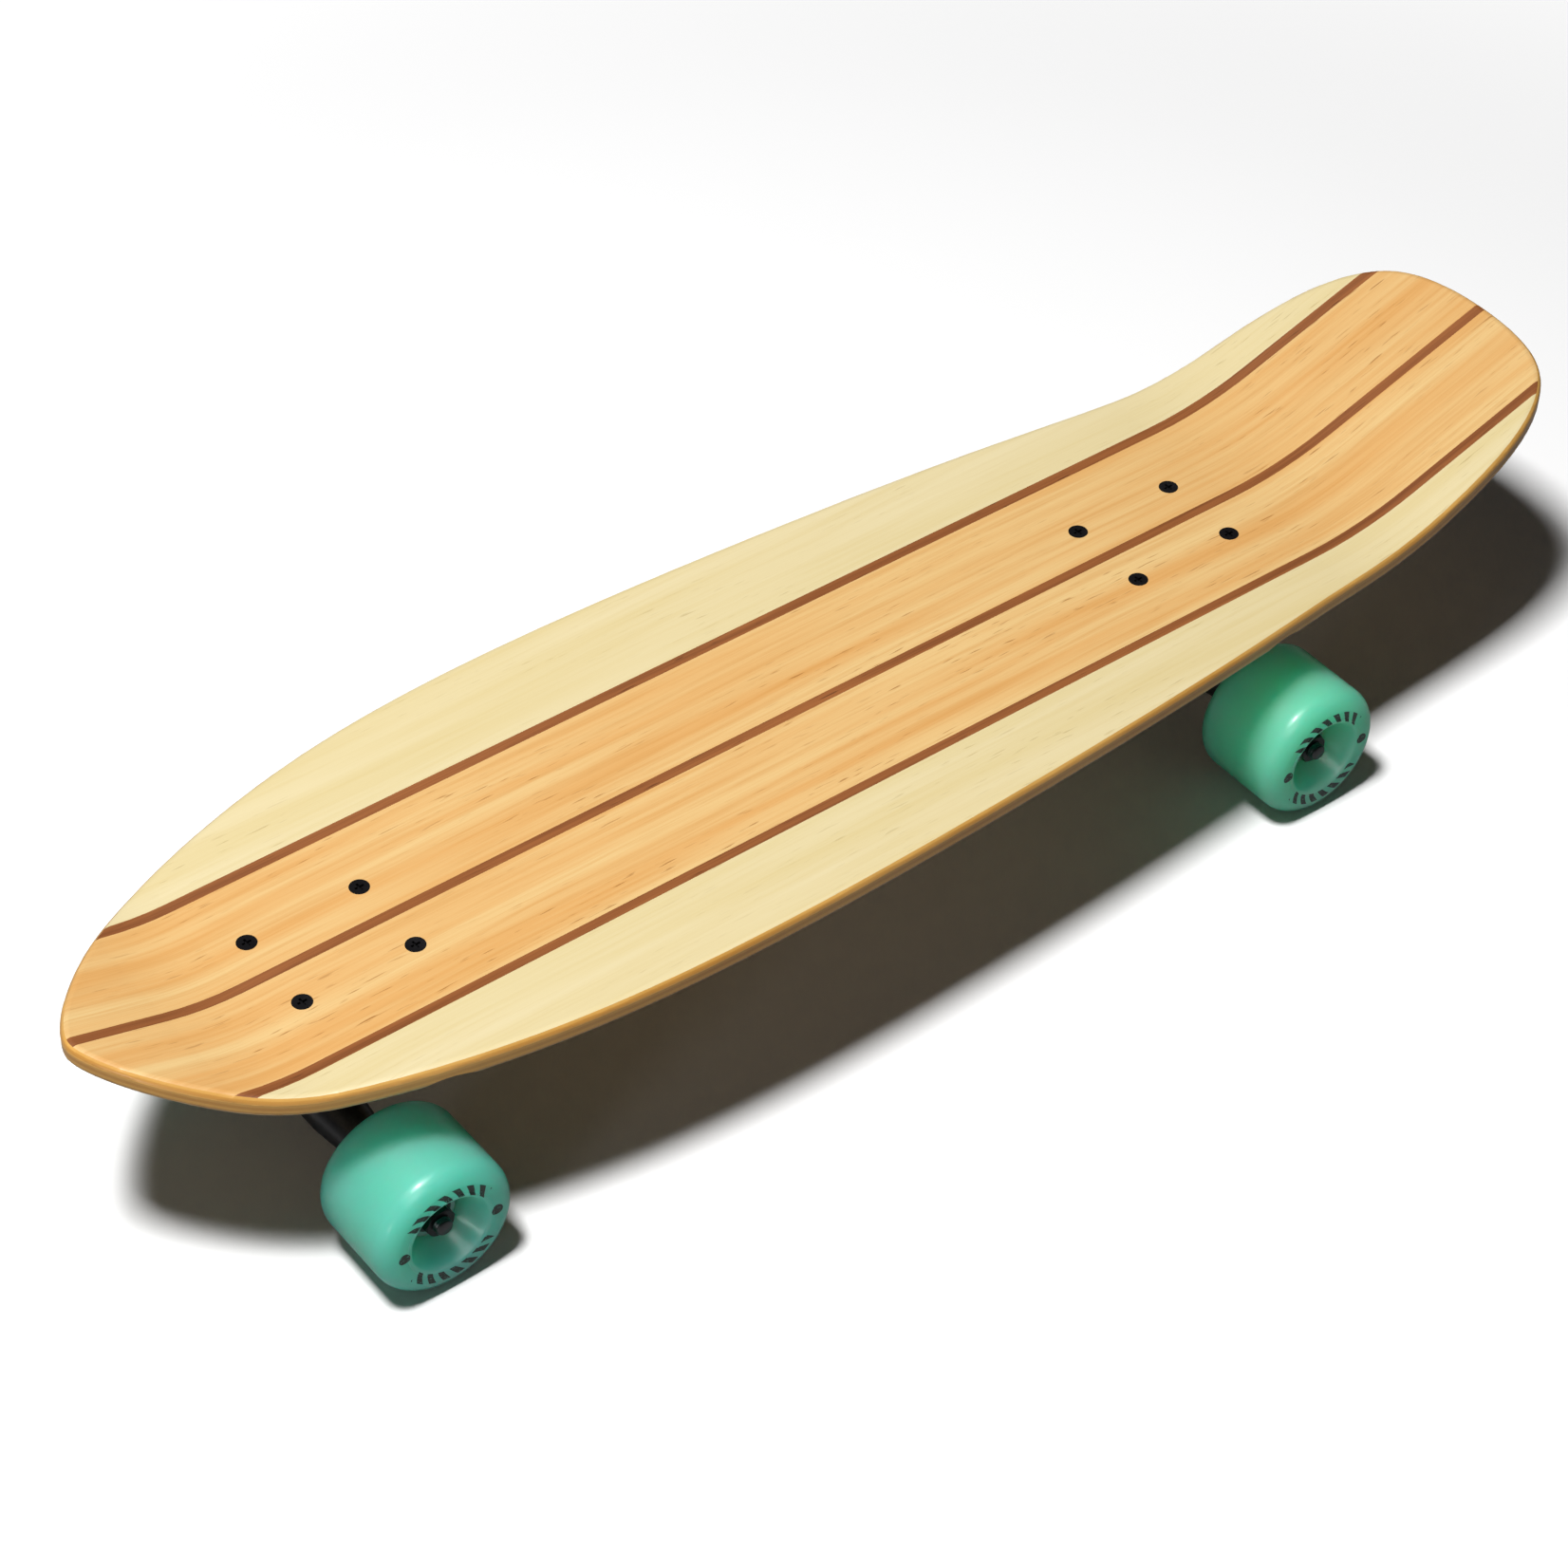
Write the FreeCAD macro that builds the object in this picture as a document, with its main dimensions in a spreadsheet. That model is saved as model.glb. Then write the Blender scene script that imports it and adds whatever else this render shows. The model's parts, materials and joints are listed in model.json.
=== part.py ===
import FreeCAD, Part
import math
import os
import Sketcher

Vector = FreeCAD.Vector
Rotation = FreeCAD.Rotation
Placement = FreeCAD.Placement

# A complete skateboard, in millimetres and degrees.
# +X runs to the nose, +Y to the rider's left, +Z up.
# The origin is on the ground, midway along the deck, on its centre line.
dimensions = {
    # deck
    "deckLength": 760,
    "deckThickness": 10,
    "topVeneer": 0.7,
    "bottomVeneer": 1.6,
    "concaveRadius": 500,
    "concaveFlat": 40,
    "noseLength": 78.5,
    "noseRadius": 125,
    "noseAngle": 16,
    "tailLength": 153.5,
    "tailRadius": 190,
    "tailAngle": 18,
    "rimRadius": 3,
    "stripeWidth": 5,
    "stripeSpacing": 55,
    "wellRadius": 32,
    "wellLength": 95,
    "wellInset": 15,
    "wellInner": 55,
    "wellRise": 1.2,
    "wellTilt": 11,
    "toolOverrun": 2,
    # truck mounting
    "axleSpan": 472,
    "axleMiddle": 39.5,
    "axleOffset": 16.5,
    "holeSpacingLong": 53.975,
    "holeSpacingWide": 41.275,
    "boltDiameter": 4.8,
    "boltHeadDiameter": 8.8,
    "boltHeadRim": 0.3,
    "boltHeadDepth": 2.3,
    "boltLength": 28,
    "boltClearance": 0.05,
    "recessLength": 4.4,
    "recessWidth": 1.1,
    "recessDepth": 1.6,
    "deckNutFlats": 9.5,
    "deckNutHeight": 5,
    "riserThickness": 3.2,
    # baseplate
    "plateLength": 82,
    "plateWidth": 57,
    "plateThickness": 7,
    "plateCorner": 9,
    "ringOffset": -8,
    "pivotOffset": 31,
    "pivotDrop": 12.5,
    "kingpinLean": 25,
    "bossRadius": 11.5,
    "bossSink": 1,
    "housingRadius": 9.5,
    "housingMouth": 4,
    "housingDepth": 8,
    "cupRadius": 7,
    "cupDepth": 6.2,
    "cupLip": 0.6,
    "cupGap": 0.15,
    "cupFlare": 6.2,
    # kingpin and bushings
    "kingpinDiameter": 9.5,
    "kingpinHeadFlats": 14.3,
    "kingpinHeadHeight": 6,
    "kingpinSeat": 6,
    "kingpinTail": 2.5,
    "kingpinNutHeight": 6.5,
    "headGap": 0.35,
    "headSink": 1.6,
    "nutChamfer": 0.8,
    "washerThickness": 2,
    "washerLip": 1.5,
    "washerWall": 1.4,
    "washerGap": 0.2,
    "bushingHeight": 14,
    "bushingRadius": 11.8,
    "roadBushingHeight": 10,
    "roadBushingWide": 11.5,
    "roadBushingNarrow": 8,
    "bushingGap": 0.25,
    # hanger
    "axleDrop": 55.3,
    "ringRadius": 15,
    "ringThickness": 10,
    "ringBore": 6.5,
    "nubLength": 12,
    "nubRootRadius": 6,
    "nubRadius": 4.5,
    "webWidth": 16,
    "webTuck": 1.5,
    "webShoulderDrop": 2.5,
    "webNeckRun": 17.5,
    "webNeckDrop": 10.5,
    "webBrowRun": 13.8,
    "webBrowDrop": 3,
    "webNoseRun": 7,
    "webNoseDrop": 6.5,
    "webBackRise": 25,
    "webSink": 1,
    "webFrontDrop": 2.5,
    "webRingRun": 9.7,
    "webRingDrop": 10.5,
    "barrelRadius": 12,
    "barrelHalf": 22,
    "armRadius": 8.8,
    "armHalf": 52,
    "armEndRadius": 7.8,
    "axleDiameter": 8,
    "axleLength": 204,
    "axleChamfer": 0.6,
    "axleNutFlats": 12.7,
    "axleNutHeight": 5.5,
    "axleFit": 0.02,
    # bearings
    "speedRingThickness": 1,
    "speedRingRadius": 5.7,
    "bearingRadius": 11,
    "bearingWidth": 7,
    "innerRaceRadius": 6,
    "outerRaceRadius": 9,
    "ballCircleRadius": 7.5,
    "ballRadius": 1.984,
    "grooveGap": 0.12,
    "cageThickness": 1.1,
    "cageWidth": 5,
    "pocketGap": 0.16,
    "shieldThickness": 0.35,
    "shieldGap": 0.3,
    "spacerLength": 10,
    "spacerRadius": 5.1,
    # wheels
    "wheelDiameter": 65,
    "wheelWidth": 51.7,
    "wheelRibRadius": 9.5,
    "wheelThroatStep": 0.6,
    "wheelMouthRadius": 18,
    "wheelLipRadius": 9,
    "wheelMouthRound": 2,
    "wheelMiddle": 80.2,
}

# Sizes that follow from the others, as the sheet's own formulas.
derived = {
    "bearingMiddle": "=spacerLength / 2 + bearingWidth / 2",
    "ringMiddle": "=spacerLength / 2 + bearingWidth + speedRingThickness / 2",
    "hangerEnd": "=spacerLength / 2 + bearingWidth + speedRingThickness",
    "grooveRadius": "=ballRadius + grooveGap",
    "pocketRadius": "=ballRadius + pocketGap",
    "shieldInner": "=innerRaceRadius + shieldGap",
    "wheelThroatRadius": "=bearingRadius + wheelThroatStep",
    "bushingBore": "=kingpinDiameter / 2 + bushingGap",
    "headRecessRadius": "=kingpinHeadFlats / 2 / cos(30) + headGap",
    "bossFace": "=ringThickness / 2 + bushingHeight + washerThickness",
    "headTop": "=bossFace + kingpinSeat + kingpinHeadHeight",
    "headRise": "=kingpinHeadFlats / 2 / cos(30) * sin(kingpinLean) + headSink",
    "ringDrop": "=headTop * cos(kingpinLean) + headRise",
    "bossTop": "=(ringDrop - bossRadius * sin(kingpinLean) - bossSink) / cos(kingpinLean)",
}
ballsPerBearing = 7

# Control points of the deck's outline: distance in from that end, half width.
outlinePoles = {
    "Nose": [(0, 0), (0, 11), (35, 54), (85, 79), (175, 103), (290, 107)],
    "Tail": [(320, 99), (210, 89), (150, 80), (70, 78), (15, 63), (0, 34), (0, 0)],
}
poleRules = []
for end, poles in outlinePoles.items():
    for number, (inset, side) in enumerate(poles):
        name = end + chr(ord("A") + number)
        dimensions["inset" + name] = inset
        dimensions["side" + name] = side
        forward = "size.deckLength / 2 - size.inset" + name
        if end == "Tail":
            forward = "-size.deckLength / 2 + size.inset" + name
        poleRules.append((forward, "side" + name))

doc = FreeCAD.newDocument("Skateboard")
sheet = doc.addObject("Spreadsheet::Sheet", "size")
for row, (alias, value) in enumerate((dimensions | derived).items(), start=1):
    sheet.set("A%d" % row, alias)
    sheet.set("B%d" % row, str(value))
    sheet.setAlias("B%d" % row, alias)
doc.recompute()

nodes = {}


def size(alias):
    return float(sheet.get(alias))


def node(label, piece):
    piece.Label = label
    nodes[label] = piece
    return piece


# ---- shared building steps ----


def bind(sketch, kind, point, rule):
    if rule == "0":
        axis = -2 if kind == "DistanceX" else -1
        sketch.addConstraint(Sketcher.Constraint("PointOnObject", *point, axis))
        return
    value = float(sketch.evalExpression(rule))
    number = sketch.addConstraint(Sketcher.Constraint(kind, -1, 1, *point, value))
    sketch.setExpression("Constraints[%d]" % number, rule)


def addLoop(sketch, corners):
    """Adds one closed loop of straight lines whose corners follow the sheet."""
    points = []
    for across, along in corners:
        x = float(sketch.evalExpression(across))
        y = float(sketch.evalExpression(along))
        points.append(Vector(x, y, 0))
    lines = []
    for start, end in zip(points, points[1:] + points[:1]):
        lines.append(sketch.addGeometry(Part.LineSegment(start, end), False))
    for line, following in zip(lines, lines[1:] + lines[:1]):
        sketch.addConstraint(Sketcher.Constraint("Coincident", line, 2, following, 1))
    for line, (across, along) in zip(lines, corners):
        bind(sketch, "DistanceX", (line, 1), across)
        bind(sketch, "DistanceY", (line, 1), along)


def newBody(name):
    body = doc.addObject("PartDesign::Body", name)
    body.AllowCompound = True
    return body


def newSketch(body, role):
    plane = [item for item in body.Origin.OriginFeatures if item.Role == role][0]
    sketch = body.newObject("Sketcher::SketchObject", body.Name + "Sketch")
    sketch.AttachmentSupport = [(plane, "")]
    sketch.MapMode = "FlatFace"
    return sketch


def turned(name, loops, place):
    """A body turned about its own Z from loops of (radius, height) rules."""
    body = newBody(name)
    sketch = newSketch(body, "XZ_Plane")
    for corners in loops:
        addLoop(sketch, corners)
    revolution = body.newObject("PartDesign::Revolution", name + "Turn")
    revolution.Profile = sketch
    revolution.ReferenceAxis = (sketch, ["V_Axis"])
    revolution.Angle = 360
    body.Placement = place
    return body


def padded(name, role, loops, length, place, midplane=False, reverse=False):
    body = newBody(name)
    sketch = newSketch(body, role)
    for corners in loops:
        addLoop(sketch, corners)
    pad = body.newObject("PartDesign::Pad", name + "Pad")
    pad.Profile = sketch
    pad.setExpression("Length", length)
    pad.Midplane = midplane
    pad.Reversed = reverse
    body.Placement = place
    return body


def rounded(body, radius, chosen):
    """Rounds the edges of a body's last feature that the test picks."""
    doc.recompute()
    base = body.Tip
    edges = base.Shape.Edges
    names = ["Edge%d" % (i + 1) for i, edge in enumerate(edges) if chosen(edge)]
    fillet = body.newObject("PartDesign::Fillet", body.Name + "Round")
    fillet.Base = (base, names)
    fillet.setExpression("Radius", radius)


def ringLoop(inner, outer, low, high):
    return [(inner, low), (outer, low), (outer, high), (inner, high)]


def primitive(kind, place, **rules):
    piece = doc.addObject("Part::" + kind, kind)
    for name, rule in rules.items():
        piece.setExpression(name, rule)
    piece.Placement = place
    return piece


def hexagon(place, flats, height):
    """A hexagonal prism whose corners are chamfered at both ends."""
    prism = doc.addObject("Part::Prism", "Hexagon")
    prism.Polygon = 6
    prism.setExpression("Circumradius", flats + " / 2 / cos(30)")
    prism.setExpression("Height", height)
    prism.Placement = place
    corner = flats + " / 2 / cos(30)"
    flat = flats + " / 2"
    loop = [
        ("0", "0"), (flat, "0"), (corner, "size.nutChamfer"),
        (corner, height + " - size.nutChamfer"), (flat, height), ("0", height),
    ]
    return overlap(prism, turned("HexagonTurn", [loop], place))


def combine(kind, pieces):
    result = doc.addObject(kind, kind.split("::")[1])
    if kind == "Part::Compound":
        result.Links = pieces
    else:
        result.Shapes = pieces
    return result


def fuse(pieces):
    return combine("Part::MultiFuse", pieces)


def group(pieces):
    return combine("Part::Compound", pieces)


def cut(base, tool):
    result = doc.addObject("Part::Cut", "Cut")
    result.Base = base
    result.Tool = tool
    return result


def overlap(first, second):
    return combine("Part::MultiCommon", [first, second])


def moved(x, y, z):
    return Placement(Vector(x, y, z), Rotation())


# ---- heights and places worked out from the sheet ----

axleHeight = size("wheelDiameter") / 2
plateTop = axleHeight + size("axleDrop")
deckBottom = plateTop + size("riserThickness")
deckTop = deckBottom + size("deckThickness")
ends = {"front": 1, "rear": -1}
sides = {"left": 1, "right": -1}


def axleX(end):
    return size("axleMiddle") + ends[end] * size("axleSpan") / 2


def truckPlace(end):
    """The middle of a truck's bolt pattern, under the riser; local X points outboard."""
    turn = Rotation(Vector(0, 0, 1), 0 if end == "front" else 180)
    x = axleX(end) - ends[end] * size("axleOffset")
    return Placement(Vector(x, 0, plateTop), turn)


def kingpinPlace(end):
    """The middle of the hanger's ring; local Z runs up the kingpin."""
    lean = Rotation(Vector(0, 1, 0), size("kingpinLean"))
    local = Placement(Vector(size("ringOffset"), 0, -size("ringDrop")), lean)
    return truckPlace(end) * local


def pivotPlace(end):
    """The middle of the pivot ball; local Z runs up the steering axis."""
    rise = size("ringDrop") - size("pivotDrop")
    run = size("pivotOffset") - size("ringOffset")
    lean = Rotation(Vector(0, 1, 0), 90 - math.degrees(math.atan2(rise, run)))
    local = Placement(Vector(size("pivotOffset"), 0, -size("pivotDrop")), lean)
    return truckPlace(end) * local


def axlePlace(end, y):
    """A point on the axle line; local Z runs to the left along it."""
    turn = Rotation(Vector(1, 0, 0), -90)
    return Placement(Vector(axleX(end), y, axleHeight), turn)


def boltPlaces(end, z):
    places = []
    for i in (-1, 1):
        for j in (-1, 1):
            x = i * size("holeSpacingLong") / 2
            y = j * size("holeSpacingWide") / 2
            places.append(truckPlace(end) * moved(x, y, z))
    return places


# ---- deck ----


def deckSpine():
    """The deck's top centre line: tail slope, bend, flat, bend, nose slope."""
    spine = doc.addObject("Sketcher::SketchObject", "DeckSpine")
    spine.Placement = Placement(Vector(), Rotation(Vector(1, 0, 0), 90))
    half = size("deckLength") / 2
    overrun = size("deckThickness") * 2  # the slopes run on past both tips
    points = {}
    for end, sign in (("tail", -1), ("nose", 1)):
        angle = math.radians(size(end + "Angle"))
        radius = size(end + "Radius")
        flatEnd = half - size(end + "Length")
        bendEnd = flatEnd + radius * math.sin(angle)
        middle = flatEnd + radius * math.sin(angle / 2)
        tip = half + overrun
        bendRise = radius * (1 - math.cos(angle))
        middleRise = radius * (1 - math.cos(angle / 2))
        tipRise = bendRise + (tip - bendEnd) * math.tan(angle)
        points[end] = [
            Vector(sign * flatEnd, deckTop, 0),
            Vector(sign * middle, deckTop + middleRise, 0),
            Vector(sign * bendEnd, deckTop + bendRise, 0),
            Vector(sign * tip, deckTop + tipRise, 0),
        ]
    tail = points["tail"]
    nose = points["nose"]
    spine.addGeometry(Part.LineSegment(tail[3], tail[2]), False)
    spine.addGeometry(Part.Arc(tail[2], tail[1], tail[0]), False)
    spine.addGeometry(Part.LineSegment(tail[0], nose[0]), False)
    spine.addGeometry(Part.Arc(nose[0], nose[1], nose[2]), False)
    spine.addGeometry(Part.LineSegment(nose[2], nose[3]), False)
    return spine


def concavePoint(y, depth):
    """A point of the cross-section, a depth below the deck's top surface."""
    radius = size("concaveRadius") + depth
    flat = size("concaveFlat") / 2
    centre = deckTop + size("concaveRadius")
    if abs(y) <= flat:
        return Vector(y, deckTop - depth, 0)
    angle = (abs(y) - flat) / size("concaveRadius")
    across = math.copysign(flat + radius * math.sin(angle), y)
    return Vector(across, centre - radius * math.cos(angle), 0)


def concaveRun(left, right, depth):
    """Lines and arcs along the section at one depth, from left to right."""
    flat = size("concaveFlat") / 2
    stops = [left] + [y for y in (-flat, flat) if left < y < right] + [right]
    run = []
    for start, end in zip(stops, stops[1:]):
        first = concavePoint(start, depth)
        last = concavePoint(end, depth)
        if abs(start + end) / 2 < flat:
            run.append(Part.LineSegment(first, last))
        else:
            run.append(Part.Arc(first, concavePoint((start + end) / 2, depth), last))
    return run


def deckLayer(spine, left, right, top, bottom):
    """A strip of the section from left to right, swept along the deck."""
    section = doc.addObject("Sketcher::SketchObject", "LayerSection")
    section.Placement = Placement(Vector(), Rotation(Vector(1, 1, 1), 120))
    for curve in concaveRun(left, right, top) + concaveRun(left, right, bottom):
        section.addGeometry(curve, False)
    for y in (left, right):
        side = Part.LineSegment(concavePoint(y, top), concavePoint(y, bottom))
        section.addGeometry(side, False)
    sweep = doc.addObject("Part::Sweep", "LayerSweep")
    sweep.Sections = [section]
    sweep.Spine = (spine, ["Edge%d" % (i + 1) for i in range(5)])
    sweep.Solid = True
    return sweep


def deckOutline():
    """The deck's plan outline, one smooth curve down each side, as a tall prism."""
    outline = doc.addObject("Sketcher::SketchObject", "DeckOutline")
    for sign in (1, -1):
        poles = []
        for forward, side in poleRules:
            poles.append(Vector(float(outline.evalExpression(forward)), sign * size(side), 0))
        curve = Part.BSplineCurve()
        curve.buildFromPoles(poles, False, 3)
        spline = outline.addGeometry(curve, False)
        firstPole = outline.GeometryCount
        outline.exposeInternalGeometry(spline)
        for number, (forward, side) in enumerate(poleRules):
            centre = (firstPole + number, 3)
            halfWidth = "0" if size(side) == 0 else "%d * size.%s" % (sign, side)
            bind(outline, "DistanceX", centre, forward)
            bind(outline, "DistanceY", centre, halfWidth)
    prism = doc.addObject("Part::Extrusion", "OutlinePrism")
    prism.Base = outline
    prism.Dir = Vector(0, 0, 1)
    prism.setExpression("LengthFwd", "size.deckLength")
    prism.Solid = True
    return prism


def wheelWells():
    wells = []
    for end, sign in ends.items():
        x = axleX(end) - sign * size("wellInset")
        for side in sides.values():
            turn = Rotation(Vector(1, 0, 0), -side * (90 - size("wellTilt")))
            drop = size("wellRadius") / math.cos(math.radians(size("wellTilt")))
            z = deckBottom + size("wellRise") - drop
            place = Placement(Vector(x, side * size("wellInner"), z), turn)
            wells.append(
                primitive("Cylinder", place, Radius="size.wellRadius", Height="size.wellLength")
            )
    return wells


def rimEdges(shape):
    """The edges between the outline's wall and the top and bottom surfaces."""
    chosen = []
    for number, edge in enumerate(shape.Edges, start=1):
        faces = shape.ancestorsOfType(edge, Part.Face)
        walls = [face for face in faces if abs(face.normalAt(*faceMiddle(face)).z) < 1e-6]
        if len(faces) == 2 and len(walls) == 1:
            chosen.append(number)
    return chosen


def faceMiddle(face):
    low, high, left, right = face.ParameterRange
    return (low + high) / 2, (left + right) / 2


def buildDeck():
    spine = deckSpine()
    depth = size("deckThickness")
    skin = size("topVeneer")
    belly = depth - size("bottomVeneer")
    spare = size("toolOverrun")
    reach = max(size(side) for forward, side in poleRules) + depth
    blank = overlap(deckLayer(spine, -reach, reach, 0, depth), deckOutline())
    doc.recompute()
    rim = doc.addObject("Part::Fillet", "DeckRim")
    rim.Base = blank
    radius = size("rimRadius")
    rim.Edges = [(number, radius, radius) for number in rimEdges(blank.Shape)]
    tools = wheelWells()
    for end in ends:
        for place in boltPlaces(end, deckTop - plateTop):
            tools.extend(screw(place, "size.boltClearance"))
            tools.append(
                primitive("Cylinder", place, Height="size.toolOverrun",
                          Radius="size.boltHeadDiameter / 2 + size.boltClearance")
            )
    drilled = cut(rim, group(tools))

    line = size("stripeWidth") / 2
    gap = size("stripeSpacing")
    top = [(-gap - line, -gap + line), (-line, line), (gap - line, gap + line)]
    centre = [(-gap + line, -line), (line, gap - line)]
    rail = [(-reach, -gap - line), (gap + line, reach)]
    core = deckLayer(spine, -reach, reach, skin, belly)
    node("deck_core", overlap(drilled, core))
    bottom = deckLayer(spine, -reach, reach, belly, depth + spare)
    node("bottom_veneer", overlap(drilled, bottom))
    for label, strips in (
        ("inlay_stripes", top), ("centre_panels", centre), ("rail_panels", rail),
    ):
        pieces = []
        for left, right in strips:
            strip = deckLayer(spine, left, right, -spare, skin)
            pieces.append(overlap(drilled, strip))
        node(label, group(pieces))


# ---- truck ----


def screw(place, extra="0"):
    """The shank and countersunk head of a deck bolt, grown by an extra clearance."""
    shank = "size.boltDiameter / 2 + " + extra
    head = "size.boltHeadDiameter / 2 + " + extra
    rim = primitive("Cylinder", place * moved(0, 0, -size("boltHeadRim")),
                    Radius=head, Height="size.boltHeadRim")
    taper = primitive("Cone", place * moved(0, 0, -size("boltHeadDepth")),
                      Radius1=shank, Radius2=head,
                      Height="size.boltHeadDepth - size.boltHeadRim")
    stem = primitive("Cylinder", place * moved(0, 0, -size("boltLength")),
                     Radius=shank, Height="size.boltLength - size.boltHeadRim")
    return [rim, taper, stem]


def deckBolts(end):
    bolts = []
    for place in boltPlaces(end, deckTop - plateTop):
        slots = []
        for turn in (0, 90):
            spin = Placement(Vector(), Rotation(Vector(0, 0, 1), turn))
            corner = moved(
                -size("recessLength") / 2, -size("recessWidth") / 2, -size("recessDepth")
            )
            slots.append(
                primitive("Box", place * spin * corner, Length="size.recessLength",
                          Width="size.recessWidth", Height="size.recessDepth")
            )
        bolts.append(cut(fuse(screw(place)), fuse(slots)))
    return group(bolts)


def deckNuts(end):
    nuts = []
    for place in boltPlaces(end, -size("plateThickness") - size("deckNutHeight")):
        hexBody = hexagon(place, "size.deckNutFlats", "size.deckNutHeight")
        bore = primitive("Cylinder", place, Radius="size.boltDiameter / 2 + size.boltClearance",
                         Height="size.deckNutHeight")
        nuts.append(cut(hexBody, bore))
    return group(nuts)


def mountingSlab(name, end, thickness, bottom):
    """A rounded rectangular slab with the four bolt holes."""
    halfLong = "size.plateLength / 2"
    halfWide = "size.plateWidth / 2"
    corners = [
        ("-" + halfLong, "-" + halfWide), (halfLong, "-" + halfWide),
        (halfLong, halfWide), ("-" + halfLong, halfWide),
    ]
    lift = moved(0, 0, bottom)
    body = padded(name, "XY_Plane", [corners], thickness, truckPlace(end) * lift)

    def isUpright(edge):
        return edge.Vertexes[0].Point.z != edge.Vertexes[-1].Point.z

    rounded(body, "size.plateCorner", isUpright)
    holes = []
    for place in boltPlaces(end, bottom - size("toolOverrun")):
        holes.append(
            primitive("Cylinder", place, Radius="size.boltDiameter / 2 + size.boltClearance",
                      Height=thickness + " + 2 * size.toolOverrun")
        )
    return body, holes


def riserPad(end):
    slab, holes = mountingSlab(end + "RiserSlab", end, "size.riserThickness", 0)
    return cut(slab, group(holes))


def baseplate(end):
    slab, holes = mountingSlab(
        end + "PlateSlab", end, "size.plateThickness", -size("plateThickness")
    )
    stack = kingpinStack()
    boss = primitive("Cylinder", kingpinPlace(end) * moved(0, 0, stack["bossFace"]),
                     Radius="size.bossRadius", Height="size.bossTop - size.bossFace")
    housing = primitive("Cylinder", pivotPlace(end) * moved(0, 0, -size("housingMouth")),
                        Radius="size.housingRadius",
                        Height="size.housingMouth + size.housingDepth")
    shank = primitive("Cylinder", kingpinPlace(end),
                      Radius="size.kingpinDiameter / 2 + size.boltClearance",
                      Height="size.ringDrop + size.plateThickness")
    headRoom = primitive("Cylinder", kingpinPlace(end) * moved(0, 0, stack["headSeat"]),
                         Radius="size.headRecessRadius", Height="size.ringDrop")
    socket = primitive("Cylinder", pivotPlace(end) * moved(0, 0, -2 * size("housingMouth")),
                       Radius="size.cupRadius",
                       Height="2 * size.housingMouth + size.cupDepth")
    return cut(fuse([slab, boss, housing]), group(holes + [shank, headRoom, socket]))


def pivotCup(end):
    """A urethane cup: a ball socket that opens into a flared mouth."""
    outside = primitive(
        "Cylinder", pivotPlace(end) * moved(0, 0, -size("housingMouth") - size("cupLip")),
        Radius="size.cupRadius",
        Height="size.housingMouth + size.cupLip + size.cupDepth",
    )
    ball = primitive("Sphere", pivotPlace(end), Radius="size.nubRadius + size.cupGap")
    mouth = size("housingMouth") + size("cupLip")
    flare = primitive("Cone", pivotPlace(end) * moved(0, 0, -mouth),
                      Radius1="size.cupFlare", Radius2="size.nubRadius + size.cupGap",
                      Height="size.housingMouth + size.cupLip")
    return cut(outside, fuse([ball, flare]))


def kingpinStack():
    """Heights along the kingpin, from the middle of the hanger's ring."""
    ringFace = size("ringThickness") / 2
    bossFace = size("bossFace")
    boardBushing = bossFace - size("washerThickness")
    headSeat = bossFace + size("kingpinSeat")
    roadBushing = -ringFace - size("roadBushingHeight")
    roadWasher = roadBushing - size("washerThickness")
    nutEnd = roadWasher - size("kingpinNutHeight")
    return {
        "ringFace": ringFace, "boardBushing": boardBushing, "bossFace": bossFace,
        "headSeat": headSeat, "roadBushing": roadBushing, "roadWasher": roadWasher,
        "nutEnd": nutEnd, "tail": nutEnd - size("kingpinTail"),
    }


def buildKingpin(end):
    stack = kingpinStack()
    origin = kingpinPlace(end)
    bore = "size.bushingBore"
    pin = primitive("Cylinder", origin * moved(0, 0, stack["tail"]),
                    Radius="size.kingpinDiameter / 2")
    pin.Height = stack["headSeat"] - stack["tail"]
    head = hexagon(origin * moved(0, 0, stack["headSeat"]),
                   "size.kingpinHeadFlats", "size.kingpinHeadHeight")
    node(end + "_kingpin", fuse([pin, head]))
    nutPlace = origin * moved(0, 0, stack["nutEnd"])
    nut = hexagon(nutPlace, "size.kingpinHeadFlats", "size.kingpinNutHeight")
    thread = primitive("Cylinder", nutPlace, Height="size.kingpinNutHeight",
                       Radius="size.kingpinDiameter / 2 + size.axleFit")
    node(end + "_kingpin_nut", cut(nut, thread))
    buildWashers(end, origin, stack)
    barrel = ringLoop(bore, "size.bushingRadius", "0", "size.bushingHeight")
    place = origin * moved(0, 0, stack["ringFace"])
    board = turned(end + "BoardsideBushing", [barrel], place)
    node(end + "_boardside_bushing", board)
    cone = [
        (bore, "0"), ("size.roadBushingNarrow", "0"),
        ("size.roadBushingWide", "size.roadBushingHeight"),
        (bore, "size.roadBushingHeight"),
    ]
    place = origin * moved(0, 0, stack["roadBushing"])
    node(end + "_roadside_bushing", turned(end + "RoadsideBushing", [cone], place))


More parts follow.
